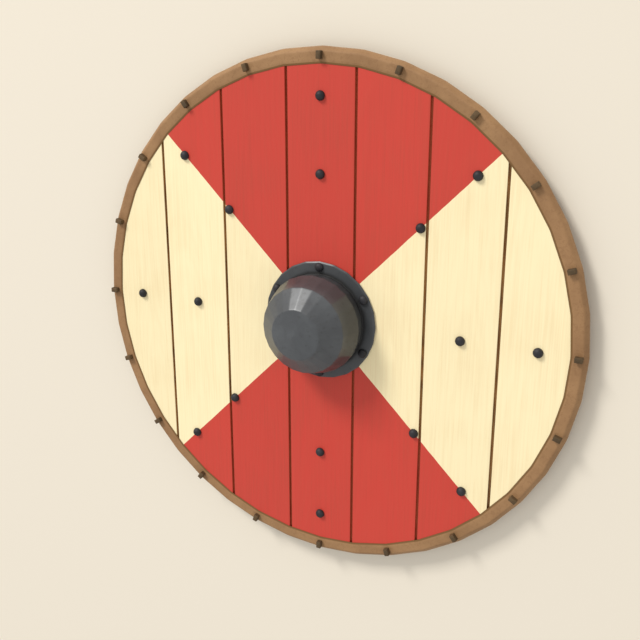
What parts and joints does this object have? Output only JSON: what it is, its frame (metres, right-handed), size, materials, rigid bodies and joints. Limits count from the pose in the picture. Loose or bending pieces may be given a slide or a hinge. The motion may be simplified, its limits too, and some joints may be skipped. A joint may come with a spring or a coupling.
{
  "type": "viking shield",
  "caption": "Round wooden viking shield with quartered red and cream paint, an iron boss, a hide edging and a grip behind.",
  "frame": {"origin": "under the middle of the boss, at the underside of the grip and battens that the shield lies on", "axes": "+Z out through the boss, +Y along the planks to the upper end, +X along the grip"},
  "size_m": [0.8678, 0.8678, 0.1297],
  "materials": {
    "red_boards": "red paint on planks, matte",
    "cream_boards": "cream paint on planks, matte",
    "hide": "thick tanned hide, matte",
    "bare_wood": "oiled bare wood",
    "boss_iron": "forged, dark and smooth",
    "rivet_iron": "forged, blackened",
    "stud_iron": "forged, browned"
  },
  "bodies": {
    "root": {"plank_centre_upper": "red_boards", "plank_centre_lower": "red_boards", "plank_inner_left": "red_boards", "plank_inner_right": "red_boards", "plank_middle_left": "cream_boards", "plank_middle_right": "cream_boards", "plank_outer_left": "cream_boards", "plank_outer_right": "cream_boards", "edging": "hide", "rim_stud_01": "stud_iron", "rim_stud_02": "stud_iron", "rim_stud_03": "stud_iron", "rim_stud_04": "stud_iron", "rim_stud_05": "stud_iron", "rim_stud_06": "stud_iron", "rim_stud_07": "stud_iron", "rim_stud_08": "stud_iron", "rim_stud_09": "stud_iron", "rim_stud_10": "stud_iron", "rim_stud_11": "stud_iron", "rim_stud_12": "stud_iron", "rim_stud_13": "stud_iron", "rim_stud_14": "stud_iron", "rim_stud_15": "stud_iron", "rim_stud_16": "stud_iron", "rim_stud_17": "stud_iron", "rim_stud_18": "stud_iron", "rim_stud_19": "stud_iron", "rim_stud_20": "stud_iron", "board_rivet_inner_1": "rivet_iron", "board_rivet_inner_2": "rivet_iron", "board_rivet_inner_3": "rivet_iron", "board_rivet_inner_4": "rivet_iron", "board_rivet_inner_5": "rivet_iron", "board_rivet_inner_6": "rivet_iron", "board_rivet_inner_7": "rivet_iron", "board_rivet_inner_8": "rivet_iron", "board_rivet_outer_1": "rivet_iron", "board_rivet_outer_2": "rivet_iron", "board_rivet_outer_3": "rivet_iron", "board_rivet_outer_4": "rivet_iron", "board_rivet_outer_5": "rivet_iron", "board_rivet_outer_6": "rivet_iron", "board_rivet_outer_7": "rivet_iron", "board_rivet_outer_8": "rivet_iron", "boss": "boss_iron", "boss_rivet_1": "rivet_iron", "boss_rivet_2": "rivet_iron", "boss_rivet_3": "rivet_iron", "boss_rivet_4": "rivet_iron", "boss_rivet_5": "rivet_iron", "boss_rivet_6": "rivet_iron", "grip": "bare_wood", "batten_upper": "bare_wood", "batten_lower": "bare_wood"}
  },
  "joints": []
}
